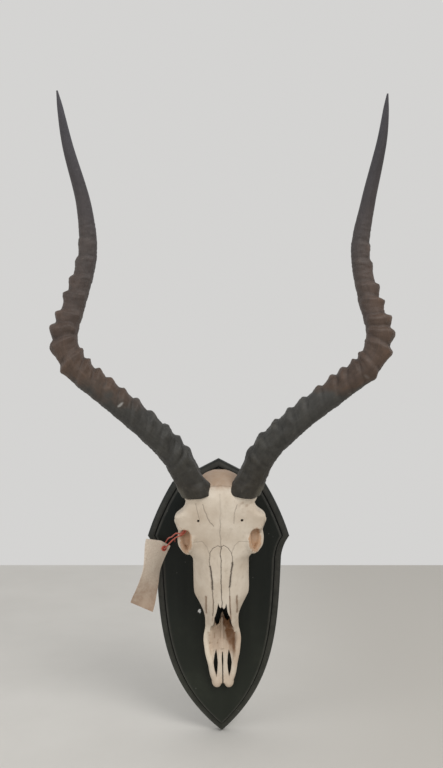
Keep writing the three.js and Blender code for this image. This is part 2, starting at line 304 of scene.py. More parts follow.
def worked(mesh, forms, operation):
    """The mesh with every form taken out of it, or joined to it."""
    body = object_from(mesh, "blank")
    tools = [object_from(mesh_from(bm, "form"), "form") for bm in forms]
    for tool in tools:
        work = body.modifiers.new("work", "BOOLEAN")
        work.operation = operation
        work.solver = "MANIFOLD"
        work.object = tool
    result = settled(body)
    for tool in tools:
        bpy.data.objects.remove(tool)
    return result


def carved(mesh, cutters):
    return worked(mesh, cutters, "DIFFERENCE")


def joined(mesh, additions):
    return worked(mesh, additions, "UNION")


def rod(points, radii, segments=20, spacing=1.5):
    """A tapered rod of bone through points of the head, with a radius at each point."""
    path = head_path(points)
    rows = max(int(path.length / spacing), 4)
    radius = through([(path.length * i / (len(radii) - 1), r) for i, r in enumerate(radii)])
    bm = unit_tube(segments, rows)
    for v in bm.verts:
        length = (v.co.z + 0.5) * path.length
        point, side, front, _ = path.axes(length)
        v.co = point + (side * v.co.x - front * v.co.y) * radius(length)
    return bm


def ellipsoid(centre, radii, segments=40, rings=28):
    bm = bmesh.new()
    bmesh.ops.create_uvsphere(bm, u_segments=segments, v_segments=rings, radius=1)
    across, along, deep = radii
    bmesh.ops.scale(bm, verts=bm.verts, vec=(across, deep, along))
    bmesh.ops.translate(bm, verts=bm.verts, vec=head(*centre))
    return bm


def plate(outline, low, high):
    """A flat outline in x and up, from one height above the shield to another."""
    bm = bmesh.new()
    face = bm.faces.new([bm.verts.new(head(x, up, low)) for x, up in outline])
    risen = bmesh.ops.extrude_face_region(bm, geom=[face])
    verts = [g for g in risen["geom"] if isinstance(g, bmesh.types.BMVert)]
    bmesh.ops.translate(bm, verts=verts, vec=head(0, 0, high - low))
    bmesh.ops.recalc_face_normals(bm, faces=bm.faces)
    return bm


def finish_piece(made, node, finish):
    made.data.materials.clear()
    made.data.materials.append(finish)
    for polygon in made.data.polygons:
        polygon.use_smooth = True
    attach(made, "root")
    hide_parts(node)


# Materials

class Finish:
    """A procedural material: one shader and the nodes that feed it."""

    def __init__(self, name, **sockets):
        self.material = bpy.data.materials.new(name)
        self.material.use_nodes = True
        self.tree = self.material.node_tree
        self.shader = self.tree.nodes["Principled BSDF"]
        for socket, value in sockets.items():
            self.shader.inputs[socket.replace("_", " ")].default_value = value
        self.place = self.node("ShaderNodeTexCoord").outputs["Object"]

    def node(self, kind, **settings):
        made = self.tree.nodes.new(kind)
        for key, value in settings.items():
            setattr(made, key, value)
        return made

    def feed(self, source, socket):
        if isinstance(source, bpy.types.NodeSocket):
            self.tree.links.new(source, socket)
        else:
            socket.default_value = source

    def attribute(self, name, output="Fac"):
        return self.node("ShaderNodeAttribute", attribute_name=name).outputs[output]

    def coordinates(self):
        """The x, y and z of the place on the piece."""
        parts = self.node("ShaderNodeSeparateXYZ")
        self.feed(self.place, parts.inputs[0])
        return parts.outputs["X"], parts.outputs["Y"], parts.outputs["Z"]

    def stretched(self, scale, vector=None):
        mapping = self.node("ShaderNodeMapping")
        mapping.inputs["Scale"].default_value = scale
        self.feed(vector or self.place, mapping.inputs["Vector"])
        return mapping.outputs["Vector"]

    def noise(self, scale, detail=4, roughness=0.55, vector=None):
        made = self.node("ShaderNodeTexNoise")
        made.inputs["Scale"].default_value = scale
        made.inputs["Detail"].default_value = detail
        made.inputs["Roughness"].default_value = roughness
        self.feed(vector or self.place, made.inputs["Vector"])
        return made.outputs["Fac"]

    def span(self, value, low, high, to_low=0, to_high=1):
        made = self.node("ShaderNodeMapRange", interpolation_type="SMOOTHSTEP")
        self.feed(value, made.inputs["Value"])
        limits = {"From Min": low, "From Max": high, "To Min": to_low, "To Max": to_high}
        for socket, number in limits.items():
            made.inputs[socket].default_value = number
        return made.outputs["Result"]

    def arithmetic(self, operation, first, second):
        made = self.node("ShaderNodeMath", operation=operation)
        self.feed(first, made.inputs[0])
        self.feed(second, made.inputs[1])
        return made.outputs["Value"]

    def times(self, first, second):
        return self.arithmetic("MULTIPLY", first, second)

    def plus(self, first, second):
        return self.arithmetic("ADD", first, second)

    def ramp(self, factor, *stops):
        made = self.node("ShaderNodeValToRGB")
        elements = made.color_ramp.elements
        while len(elements) < len(stops):
            elements.new(0.5)
        for element, (place, colour) in zip(elements, stops):
            element.position = place
            element.color = (*colour, 1)
        self.feed(factor, made.inputs["Fac"])
        return made.outputs["Color"]

    def mix(self, factor, first, second, blend="MIX"):
        made = self.node("ShaderNodeMix", data_type="RGBA", blend_type=blend)
        self.feed(factor, made.inputs[0])
        for source, socket in ((first, made.inputs[6]), (second, made.inputs[7])):
            self.feed((*source, 1) if isinstance(source, tuple) else source, socket)
        return made.outputs[2]

    def bump(self, height, strength, distance, under=None):
        made = self.node("ShaderNodeBump")
        made.inputs["Strength"].default_value = strength
        made.inputs["Distance"].default_value = distance
        self.feed(height, made.inputs["Height"])
        if under:
            self.feed(under, made.inputs["Normal"])
        return made.outputs["Normal"]

    def done(self, colour, roughness, normal):
        self.feed(colour, self.shader.inputs["Base Color"])
        self.feed(roughness, self.shader.inputs["Roughness"])
        self.feed(normal, self.shader.inputs["Normal"])
        return self.material


def bone_finish():
    f = Finish("dry_bone")
    clouds = f.noise(28, 5, 0.6)
    colour = f.ramp(
        clouds, (0.3, (0.50, 0.415, 0.325)), (0.52, (0.60, 0.52, 0.425)), (0.72, (0.68, 0.605, 0.51))
    )
    streaks = f.span(f.noise(170, 5, 0.65, f.stretched((1, 1, 0.16))), 0.5, 0.74)
    colour = f.mix(f.times(streaks, 0.3), colour, (0.42, 0.345, 0.265))
    grime = f.span(f.noise(95, 6, 0.65), 0.56, 0.74)
    colour = f.mix(f.times(grime, 0.4), colour, (0.38, 0.31, 0.235))
    pores = f.span(f.noise(900, 3, 0.6), 0.66, 0.76)
    colour = f.mix(f.times(pores, 0.5), colour, (0.30, 0.235, 0.17))
    # Painted highlight: the pale attribute lightens the left jaw arm.
    colour = f.mix(f.attribute("pale"), colour, (0.80, 0.70, 0.565))
    mottle = f.span(f.noise(160, 4), 0.3, 0.7, 0.78, 1)
    colour = f.mix(f.times(f.attribute("tan"), mottle), colour, (0.455, 0.275, 0.16))
    colour = f.mix(f.times(f.attribute("stain"), mottle), colour, (0.165, 0.064, 0.014))
    # Painted shade: the shade attribute darkens deep in the nose and the back of the braincase.
    colour = f.mix(f.attribute("shade"), colour, (0.02, 0.015, 0.012))
    colour = f.mix(f.attribute("suture"), colour, (0.05, 0.036, 0.026))
    normal = f.bump(f.noise(420, 5, 0.6), 0.3, 0.0006)
    normal = f.bump(f.noise(1500, 2), 0.2, 0.0003, normal)
    normal = f.bump(streaks, 0.2, 0.0004, normal)
    return f.done(colour, f.span(clouds, 0.3, 0.7, 0.72, 0.56), normal)


def horn_finish():
    f = Finish("dark_horn", Specular_IOR_Level=0.42)
    along = f.attribute("along")
    fibre_place = f.attribute("fibre", "Vector")
    fibres = f.noise(9, 6, 0.62, f.stretched((3.2, 3.2, 0.35), fibre_place))
    blotches = f.noise(16, 4, 0.6)
    patchy = f.plus(along, f.span(blotches, 0.3, 0.7, -0.045, 0.045))
    colour = f.ramp(
        f.plus(patchy, f.times(f.attribute("inner"), 0.05)),
        (0.0, (0.024, 0.020, 0.014)), (0.10, (0.032, 0.031, 0.027)), (0.30, (0.039, 0.0375, 0.034)),
        (0.35, (0.072, 0.045, 0.031)), (0.50, (0.069, 0.045, 0.034)), (0.64, (0.051, 0.0395, 0.0355)),
        (0.85, (0.046, 0.041, 0.045)), (1.0, (0.062, 0.060, 0.071)),
    )
    light = f.mix(1.0, colour, (1.6, 1.55, 1.5), "MULTIPLY")
    colour = f.mix(f.span(fibres, 0.45, 0.75), colour, light)
    dark = f.mix(1.0, colour, (0.5, 0.47, 0.45), "MULTIPLY")
    colour = f.mix(f.span(blotches, 0.48, 0.72, 0, 0.5), colour, dark)
    # Ring crests lighter: rubbed wear with a painted highlight.
    worn = f.mix(1.0, colour, (1.55, 1.5, 1.42), "MULTIPLY")
    rubbed_and_lit = f.span(f.noise(60, 4), 0.42, 0.68)
    colour = f.mix(f.times(f.attribute("crest"), rubbed_and_lit), colour, worn)
    # Painted shade in the creases after the rings and in the hollows.
    crease_shade = f.mix(1.0, colour, (0.45, 0.44, 0.43), "MULTIPLY")
    colour = f.mix(f.attribute("crease"), colour, crease_shade)
    colour = f.mix(f.attribute("hem"), colour, (0.11, 0.10, 0.075))
    colour = f.mix(f.attribute("nick"), colour, (0.27, 0.26, 0.245))
    dust = f.span(f.noise(210, 5, 0.65), 0.60, 0.78)
    colour = f.mix(f.times(dust, 0.2), colour, (0.2, 0.185, 0.165))
    normal = f.bump(fibres, 0.55, 0.0009)
    normal = f.bump(f.noise(120, 5, 0.6), 0.5, 0.0016, normal)
    normal = f.bump(f.noise(520, 4), 0.18, 0.0004, normal)
    return f.done(colour, f.span(fibres, 0.3, 0.75, 0.42, 0.62), normal)


def shield_finish():
    f = Finish("worn_green_black_paint", Specular_IOR_Level=0.2)
    x, y, z = f.coordinates()
    brushed = f.noise(60, 5, 0.6, f.stretched((1.0, 1.0, 0.08)))
    colour = f.ramp(brushed, (0.3, (0.0045, 0.0062, 0.0048)), (0.7, (0.0088, 0.0108, 0.0086)))
    cold = f.times(f.span(x, 0.01, -0.06), f.span(z, 0.05, 0.12))
    colour = f.mix(f.times(cold, 0.7), colour, (0.0035, 0.0068, 0.0070))
    # Moulding lighter along its rounded edge and flat: worn paint with a painted highlight.
    rub = f.span(f.noise(90, 5, 0.65), 0.3, 0.62, 0.45, 1)
    colour = f.mix(f.times(f.attribute("edge_wear_and_highlight"), rub), colour, (0.036, 0.035, 0.030))
    # Painted shade: darker in the quirk groove and at the foot of the field's wall.
    colour = f.mix(f.attribute("groove"), colour, (0.004, 0.004, 0.0035))
    film = f.span(f.noise(14, 5, 0.6), 0.42, 0.75)
    settled_dust = f.times(f.span(film, 0, 1, 0.45, 1), f.span(z, 0.03, -0.14, 0.03, 0.42))
    colour = f.mix(settled_dust, colour, (0.064, 0.070, 0.049))
    specks = f.node("ShaderNodeTexVoronoi", feature="F1")
    specks.inputs["Scale"].default_value = 130
    f.feed(f.place, specks.inputs["Vector"])
    speck = f.times(f.span(specks.outputs["Distance"], 0.10, 0.05), f.span(f.noise(45), 0.5, 0.62))
    colour = f.mix(f.times(speck, 0.4), colour, (0.25, 0.245, 0.23))
    dab_x = f.arithmetic("DIVIDE", f.arithmetic("SUBTRACT", x, DAB_PLACE[0]), DAB_SIZE[0])
    dab_z = f.arithmetic("DIVIDE", f.arithmetic("SUBTRACT", z, DAB_PLACE[1]), DAB_SIZE[1])
    dab = f.plus(f.times(dab_x, dab_x), f.times(dab_z, dab_z))
    dab = f.plus(dab, f.span(f.noise(700, 3), 0.3, 0.7, -0.5, 0.5))
    on_front = f.span(y, -0.012, -0.018)
    colour = f.mix(f.times(f.span(dab, 1.1, 0.8), on_front), colour, (0.66, 0.66, 0.64))
    normal = f.bump(brushed, 0.3, 0.0006)
    normal = f.bump(f.noise(700, 3), 0.12, 0.0003, normal)
    return f.done(colour, f.span(film, 0, 1, 0.42, 0.62), normal)


def card_finish():
    f = Finish("aged_card")
    fibres = f.noise(520, 5, 0.65)
    colour = f.ramp(fibres, (0.3, (0.60, 0.51, 0.415)), (0.7, (0.74, 0.655, 0.56)))
    _, _, z = f.coordinates()
    # Painted shade: the low end of the card darker, as it faces downwards; stains gather there too.
    shaded_low_end = f.span(z, 0.048, -0.010)
    colour = f.mix(f.times(shaded_low_end, 0.75), colour, (0.33, 0.23, 0.16))
    blots = f.span(f.noise(70, 5, 0.6), 0.4, 0.66)
    colour = f.mix(f.times(f.times(shaded_low_end, blots), 0.7), colour, (0.29, 0.18, 0.12))
    rust = f.span(f.noise(170, 4, 0.6), 0.58, 0.72)
    colour = f.mix(f.times(rust, 0.35), colour, (0.35, 0.25, 0.175))
    normal = f.bump(fibres, 0.35, 0.0003)
    return f.done(colour, 0.88, normal)


def string_finish():
    f = Finish("red_cotton", Sheen_Weight=0.25)
    strands = f.noise(1700, 4, 0.6)
    colour = f.ramp(strands, (0.32, (0.30, 0.04, 0.022)), (0.7, (0.62, 0.12, 0.07)))
    return f.done(colour, 0.85, f.bump(strands, 0.8, 0.0003))


def floor_finish():
    f = Finish("pale_floor")
    grain = f.noise(9, 4)
    colour = f.ramp(grain, (0.3, (0.61, 0.595, 0.565)), (0.7, (0.64, 0.625, 0.595)))
    x, _, _ = f.coordinates()
    # Painted shade: the floor darker towards the right.
    colour = f.mix(f.span(x, -0.1, 0.3), colour, (0.52, 0.50, 0.465))
    return f.done(colour, 0.8, f.bump(f.noise(300), 0.05, 0.0005))


# Camera, floor and light

def set_up_camera():
    data = bpy.data.cameras.new("camera")
    data.sensor_width = SENSOR_WIDTH
    data.lens = FOCAL_PIXELS / LONG_SIDE_PIXELS * SENSOR_WIDTH
    camera = object_from(data, "camera")
    camera.location = CAMERA_PLACE
    camera.rotation_euler = (math.pi / 2, 0, 0)
    bpy.context.scene.camera = camera


def area_light(name, place, target, size, power, colour):
    data = bpy.data.lights.new(name, "AREA")
    data.shape = "DISK"
    data.size = size
    data.energy = power
    data.color = colour
    light = object_from(data, name)
    light.location = place
    light.rotation_euler = (Vector(target) - Vector(place)).to_track_quat("-Z", "Y").to_euler()


def set_up_stage():
    bm = bmesh.new()
    bmesh.ops.create_grid(bm, x_segments=1, y_segments=1, size=1)
    middle = (FLOOR_BACK + FLOOR_FRONT) / 2
    bmesh.ops.scale(bm, verts=bm.verts, vec=(FLOOR_HALF_WIDTH, (FLOOR_BACK - FLOOR_FRONT) / 2, 1))
    bmesh.ops.translate(bm, verts=bm.verts, vec=(0, middle, FLOOR_LEVEL))
    floor = object_from(mesh_from(bm, "floor"), "floor")
    floor.data.materials.append(floor_finish())
    world = bpy.data.worlds.new("soft_studio")
    world.use_nodes = True
    sky = world.node_tree.nodes["Background"]
    sky.inputs["Color"].default_value = (*BACKGROUND, 1)
    sky.inputs["Strength"].default_value = 1.0
    bpy.context.scene.world = world
    bpy.context.scene.view_settings.view_transform = "Standard"
    area_light("key", KEY_PLACE, LIGHT_TARGET, 1.1, 22, (1, 0.985, 0.96))
    area_light("fill", FILL_PLACE, LIGHT_TARGET, 1.4, 7, (0.96, 0.98, 1))


# Horns

# The bare horn's radius at a share of its length, and the height of a ring at a length from its base
horn_radius = through([
    (0, 16.6), (0.12, 14.9), (0.24, 13.9), (0.47, 12.7), (0.55, 11.1), (0.69, 9.2), (0.77, 7.6),
    (0.89, 5.4), (0.965, 3), (1, 0.8),
])
ring_height = through([(43, 2.5), (100, 3.2), (180, 3.2), (240, 5.2), (270, 4.7), (300, 2.9), (340, 0.7)])


def ring_marks(side, seed):
    """Each ring's place along the horn, its share of the usual height and a number for its waver."""
    draw = random.Random(seed)
    return [(place, draw.uniform(0.85, 1.12), draw.uniform(0, 40)) for place in RING_PLACES[side]]


def ring_strength(at, around, front):
    """How far a ring stands out: inside below the bend, outside above it, less in front."""
    inner = smooth(-0.2, 0.8, around) * (1 - smooth(190, 236, at))
    outer = smooth(-0.2, 0.8, -around) * smooth(185, 215, at)
    facing = (0.32 + 0.16 * smooth(130, 220, at)) * smooth(0.1, 0.9, front)
    return max(0.1, inner, outer, facing)


def horn_surface(at, around, front, marks, seed):
    """Radius added to the bare horn, how much of a ring's crest is there, and how much painted shade
    darkens its crease and the hollows between lumps.
    """
    crest, crease = 0, 0
    for place, height, phase in marks:
        waver = RING_WAVER * noise.noise(Vector((front * 1.7, around * 1.7, phase)))
        offset = at - place - waver
        if -18 < offset < 14:
            broken = 0.6 + 0.6 * noise.noise(Vector((front * 2.2, around * 2.2, phase + 20)))
            crest = max(crest, height * hill(offset, RING_RISE if offset < 0 else RING_FALL))
            crease = max(crease, broken * hill(offset - CREASE_BEYOND, CREASE_WIDTH))
    strength = ring_strength(at, around, front)
    ringed = 1 - smooth(RING_LAST, RING_LAST + 50, at)
    ring = ring_height(at) * strength * crest * (1 - smooth(RING_LAST + 8, RING_LAST + 24, at))
    crease *= min(1.3 * strength, 1) * ringed
    wrinkle = WRINKLE_HEIGHT * ringed * noise.noise(Vector((front * 1.2, around * 1.2, at * 0.42 + seed)))
    flute = FLUTE_HEIGHT * noise.noise(Vector((front * 7, around * 7, at * 0.02 + seed)))
    low = 1 - smooth(40, 150, at)
    lump = noise.noise(Vector((front * 1.8, around * 1.8, at * 0.085 + seed)))
    pit = noise.noise(Vector((front * 3.1, around * 3.1, at * 0.14 + seed + 9)))
    # Painted shade in the hollows between lumps, besides the creases after the rings.
    hollow = ringed * (0.3 + 0.7 * low) * max(smooth(0.1, 0.5, -lump), 0.8 * smooth(0.15, 0.5, -pit))
    lumps = (0.3 + 0.9 * low) * ringed * (lump + 0.5 * pit)
    hem = 1.6 * hill(at - 7, 7) * smooth(-0.6, 0.8, around)
    hem -= 0.8 * hill(at - 24, 9) * smooth(-0.2, 0.8, around)
    added = ring - CREASE_DEPTH * crease + wrinkle + flute + lumps + hem
    return added, crest * strength, max(crease, 0.75 * hollow)


def make_horn(side, finish):
    path = head_path(HORN_LINES[side])
    rows = int(path.length / HORN_ROW)
    seed = HORN_SEEDS[side]
    marks = ring_marks(side, seed)
    bm = unit_tube(HORN_SEGMENTS, rows)
    along_layer = bm.verts.layers.float.new("along")
    crest_layer = bm.verts.layers.float.new("crest")
    crease_layer = bm.verts.layers.float.new("crease")
    inner_layer = bm.verts.layers.float.new("inner")
    hem_layer = bm.verts.layers.float.new("hem")
    nick_layer = bm.verts.layers.float.new("nick")
    fibre_layer = bm.verts.layers.float_vector.new("fibre")
    nick_at, nick_around, nick_paleness = NICKS[side]
    for v in bm.verts:
        across, front = v.co.x, -v.co.y
        at = (v.co.z + 0.5) * path.length
        around = across * MEDIAL[side]
        added, crest, crease = horn_surface(at, around, front, marks, seed)
        bare = horn_radius(at / path.length)
        lean = RING_SLANT * smooth(5, 60, at)
        lean *= 1 - 0.6 * smooth(190, 250, at)
        lean *= 1 - smooth(300, 345, at)
        slant = lean - BASE_DROP * (1 - smooth(0, 40, at))
        reach = min(at + slant * around, path.length)
        point, side_way, front_way, along = path.axes(max(reach, 0))
        radius = bare + added * min(bare / 5, 1)
        v[along_layer] = at / path.length - BROWN_LATER[side]
        v[crest_layer] = crest
        v[crease_layer] = crease
        v[inner_layer] = around
        v[hem_layer] = 0.6 * (1 - smooth(8, 22, at)) * smooth(0.5, 0.8, -around)
        aside = around - nick_around
        nick = hill(at - nick_at + NICK_LEAN * aside, NICK_WIDTH) * hill(aside, NICK_REACH)
        v[nick_layer] = nick_paleness * smooth(0.25, 0.6, nick) * smooth(0, 0.5, front)
        v[fibre_layer] = (around, front, at / 40)
        v.co = point + (side_way * across + front_way * front) * radius + along * min(reach, 0)
    mesh = mesh_from(bm, f"horn_{side}_sheath")
    mesh.transform(HEAD_PLACE)
    finish_piece(object_from(mesh, f"horn_{side}_sheath"), f"horn_{side}", finish)


# Skull

# The braincase and muzzle along the head: half width, heights and the power of the top's curve
half_width = through([
    (72, 18), (87, 19.4), (97, 21.5), (104, 24.5), (112, 28.5), (120, 31.8), (160, 32.3), (164, 33.2),
    (168, 36), (173, 37.6), (188, 37.6), (195, 43), (201, 47.4), (208, 49), (212, 50.4), (214.6, 51),
    (216.6, 48.4), (220, 43.6), (224, 40.6), (230, 38.6), (236, 37.3), (242, 35), (250, 28.5), (255, 22),
    (259, 16), (262, 8),
])
crown = through([
    (72, 31), (90, 42), (130, 54), (179, 66), (209, 75), (237, 80), (250, 72), (257, 61), (262, 47),
])
widest = through([(72, 20), (113, 20), (160, 30), (185, 52), (213, 60), (235, 50), (262, 36)])
palate = through([(72, 9), (113, 10), (170, 12), (240, 13), (262, 24)])
crown_power = through([
    (72, 0.85), (150, 0.85), (172, 0.55), (186, 0.38), (207, 0.34), (228, 0.36), (240, 0.5), (250, 0.75),
    (262, 0.95),
])
CRANIUM_FRONT = 72
CRANIUM_BACK = 262
UNDER_POWER = 0.55

# Rods of bone on the right of the head, with their radii
CHEEK_BAR = [
    (38, 206.5, 65), (46.8, 210, 60), (47, 202, 45), (46, 192, 32), (47.4, 184, 26.5), (46.4, 175, 26.5),
    (40.5, 167.5, 31),
]
CHEEK_BAR_RADII = [5, 4.4, 4, 3.4, 3, 3, 3]
CHEEK_ARCH = [(43.5, 192, 30), (36.5, 220, 26), (30, 246, 28)]
CHEEK_ARCH_RADII = [2.8, 3.2, 6]
JAW_ARM = [
    (15, 112, 37), (16.2, 92, 30), (16.6, 80, 25.5), (19.2, 64, 18), (17.4, 46, 13), (14, 30, 9.5),
    (11, 15, 8), (7.6, 6, 7),
]
JAW_ARM_RADII = [4.5, 3.4, 3, 2.9, 3.3, 3.7, 3.9, 3.6]
NOSE_SPLINT = [(3, 60, 10.5), (3.2, 40, 9.5), (3.5, 24, 8.5), (4.3, 10, 7)]
NOSE_SPLINT_RADII = [1.6, 2, 2.2, 3]
BROW_HOLE = [(24.2, 209.5, 60), (24.2, 211.5, 90)]
BROW_HOLE_RADII = [1.5, 1.5]
PEDICLE_REACH = (-20, -10, 2)
PEDICLE_RADII = [12, 14, 15]

# Rounded lumps and hollows, in the middle or on the right: centre, and radii across, along and deep
NOSE_HOLLOW = ((0, 82, 25), (14.2, 62, 15.4))
NECK_OPENING = ((0, 254, 17), (8, 9, 8))
CHEEKBONE = ((37, 187, 30), (10.5, 20, 9))
EYE_HOLLOW = ((46, 191, 50), (21, 18.5, 18.5))
EYE_FRONT = ((39.8, 187, 63), (8.2, 14.5, 17))
TEMPLE_HOLLOW = ((52, 234, 38), (15, 17, 22))
NECK_BUMP = ((12, 247, 13), (10, 10, 12))
JAW_TIP = ((7.1, 8.4, 6.3), (6.2, 8.2, 5))

# Cheek teeth, from the front one to the back one
TOOTH_LENGTHS = (6.5, 7.5, 8.5, 10, 11, 10.5)
TOOTH_ROW_FRONT = 113
TOOTH_GAP = 0.6
TOOTH_LOBES = (0.27, 0.73)
LOBE_RADIUS = 0.27
LOBE_LINE = [(23.2, 0.8), (23.8, 9), (24.4, 18)]
LOBE_TAPER = (0.92, 1.12, 1.2)

# Flat outlines in x and up, and the heights above the shield between which each is filled or cut
NASAL_FLOOR = [
    (-17.5, 62), (-15, 45), (-10.5, 26), (-6, 6), (6, 6), (10.5, 26), (15, 45), (17.5, 62), (16.5, 80),
    (14, 118), (-14, 118), (-16.5, 80),
]
NASAL_FLOOR_HEIGHTS = (6, 10)
NASAL_RIDGE = [(-1.2, 48), (1.2, 48), (1.6, 86), (-1.6, 86)]
NASAL_RIDGE_HEIGHTS = (8, 13)
NASAL_FORK = [
    (-14.3, 62), (15, 62), (15.2, 66), (12.2, 80), (10, 91), (9.1, 94.6), (8, 96.5), (6.5, 101), (6, 107),
    (5.3, 111.5), (4.2, 106.5), (2.5, 104.5), (0.6, 107.5), (-1.3, 105.7), (-2.9, 108.5), (-3.9, 112.5),
    (-4.4, 109), (-5.9, 101), (-7.6, 95.3), (-8.6, 93), (-9, 88), (-10.9, 79),
]
NASAL_FORK_HEIGHTS = (24, 60)
PALATE_HEIGHTS = (-2, 30)
PALATE_SLOT = [(7.5, 47), (9.6, 40), (10.8, 31), (9.8, 22), (7.4, 14), (6.2, 22), (5.6, 31), (6.2, 40)]
THROAT = [
    (0.5, 91.5), (-1.4, 85.7), (-3.8, 77.4), (-6.5, 75.6), (-8.3, 79.3), (-9.2, 90), (-8, 108), (8, 108),
    (9, 90), (8.3, 83), (7.2, 81.4), (4.5, 82.1), (2.7, 86.6),
]
MIDDLE_SLIT = [
    (-0.5, 44), (0.5, 44), (1.1, 35), (0.6, 26), (0.5, 8), (1.6, -4), (-1.6, -4), (-0.5, 8), (-0.6, 26),
    (-1.1, 35),
]

# Seams of the face as lines in x and up: points, width, depth and darkness
NASAL_EDGE = [
    (0.2, 178.5), (2.8, 181), (8.5, 178), (11.8, 173), (13, 162), (12.2, 152), (10.5, 138), (9.7, 129),
    (9.5, 111), (10, 96),
]
TEAR_BONE_EDGE = [(30.8, 185), (21, 186), (15, 180), (12.2, 170)]
NASAL_GROOVE = [(17.8, 119), (18.4, 97)]
NOSE_EDGE = [(9.6, 120), (9.6, 111), (10.2, 98), (10.6, 89)]
SEAMS = [
    (NASAL_EDGE, 0.42, 0.6, 0.75),
    ([(-x, up) for x, up in NASAL_EDGE], 0.42, 0.6, 0.75),
    ([(-12.6, 156), (-12.2, 152), (-10.5, 138), (-9.7, 129)], 1.0, 1.2, 1),
    ([(12.9, 160), (12.2, 152), (10.5, 138), (9.7, 131)], 1.0, 1.2, 1),
    ([(0, 240), (0.5, 215), (-0.3, 190)], 0.8, 0.25, 0.16),
    ([(0.3, 212), (-0.3, 200), (0.2, 178)], 0.4, 0.4, 0.5),
    ([(0.2, 180), (0, 140), (0.3, 106)], 0.5, 0.6, 0.95),
    ([(-19.3, 229), (-14.2, 215), (-7.2, 204)], 0.4, 0.35, 0.6),
    ([(-26.7, 230), (-22.6, 212)], 0.4, 0.3, 0.45),
    ([(18.6, 228), (15.4, 217), (15.3, 207)], 0.4, 0.3, 0.45),
    (NASAL_GROOVE, 1.1, 1.0, 0.15),
    ([(-x, up) for x, up in NASAL_GROOVE], 1.1, 1.0, 0.15),
    (TEAR_BONE_EDGE, 0.5, 0.3, 0.28),
    ([(-x, up) for x, up in TEAR_BONE_EDGE], 0.5, 0.3, 0.28),
    ([(-30, 249), (-12, 248), (0, 249), (12, 248), (30, 249)], 0.6, 0.3, 0.25),
]
SEAM_REACH = 1.9


def beside(side, points):
    """Points of the right half of the head, or their mirror image on the left."""
    return [(side * x, up, out) for x, up, out in points]


def rounded(side, form):
    """A lump or hollow of the right half of the head, or its mirror image on the left."""
    centre, radii = form
    return ellipsoid(beside(side, [centre])[0], radii)


def cranium():
    """The braincase, forehead and muzzle as one lofted body."""
    length = CRANIUM_BACK - CRANIUM_FRONT
    bm = unit_tube(112, int(length / 1.5))
    for v in bm.verts:
        up = CRANIUM_FRONT + (v.co.z + 0.5) * length
        across, front = v.co.x, -v.co.y
        upper = front > 0
        power = crown_power(up) if upper else UNDER_POWER
        rise = crown(up) - widest(up) if upper else widest(up) - palate(up)
        x = math.copysign(abs(across) ** power, across) * half_width(up)
        v.co = head(x, up, widest(up) + math.copysign(abs(front) ** power, front) * rise)
    return mesh_from(bm, "cranium")


def orbit_rim(side):
    """The ring of bone round one eye."""
    ring = bmesh.new()
    bmesh.ops.create_circle(ring, segments=18, radius=ORBIT_RIM)
    bmesh.ops.rotate(ring, verts=ring.verts, matrix=Matrix.Rotation(math.pi / 2, 3, "X"))
    bmesh.ops.translate(ring, verts=ring.verts, vec=(ORBIT_RADIUS, 0, 0))
    bmesh.ops.spin(
        ring, geom=ring.verts[:] + ring.edges[:], axis=(0, 0, 1), cent=(0, 0, 0),
        angle=2 * math.pi, steps=72, use_merge=True,
    )
    bmesh.ops.remove_doubles(ring, verts=ring.verts, dist=1e-4)
    down = Vector((side * math.sin(ORBIT_FACING), math.cos(ORBIT_FACING), 0))
    along = Vector((0, 0, 1))
    turn = Matrix((down, along, down.cross(along))).transposed()
    bmesh.ops.rotate(ring, verts=ring.verts, matrix=turn)
    bmesh.ops.translate(ring, verts=ring.verts, vec=head(side * ORBIT_X, ORBIT_UP, ORBIT_OUT))
    bmesh.ops.recalc_face_normals(ring, faces=ring.faces)
    return ring


def cheek(side):
    bar = rod(beside(side, CHEEK_BAR), CHEEK_BAR_RADII)
    arch = rod(beside(side, CHEEK_ARCH), CHEEK_ARCH_RADII)
    return [orbit_rim(side), bar, arch]


def muzzle(side):
    arm = rod(beside(side, JAW_ARM), JAW_ARM_RADII)
    splint = rod(beside(side, NOSE_SPLINT), NOSE_SPLINT_RADII)
    return [arm, splint, rounded(side, JAW_TIP)]


def cheek_teeth(side):
    """Two lobes for each of the six cheek teeth, which are longer towards the back."""
    lobes = []
    up = TOOTH_ROW_FRONT
    for tooth_length in TOOTH_LENGTHS:
        for lobe in TOOTH_LOBES:
            place = up + tooth_length * lobe
            radius = tooth_length * LOBE_RADIUS
            line = beside(side, [(x, place, out) for x, out in LOBE_LINE])
            lobes.append(rod(line, [radius * share for share in LOBE_TAPER], 16, 2))
        up += tooth_length + TOOTH_GAP
    return lobes


def pedicle(side_name):
    path = head_path(HORN_LINES[side_name])
    seat, along = path.at(0)
    ends = [seat + along * step for step in PEDICLE_REACH]
    return rod([(p.x, p.z, -p.y) for p in ends], PEDICLE_RADII, 40)


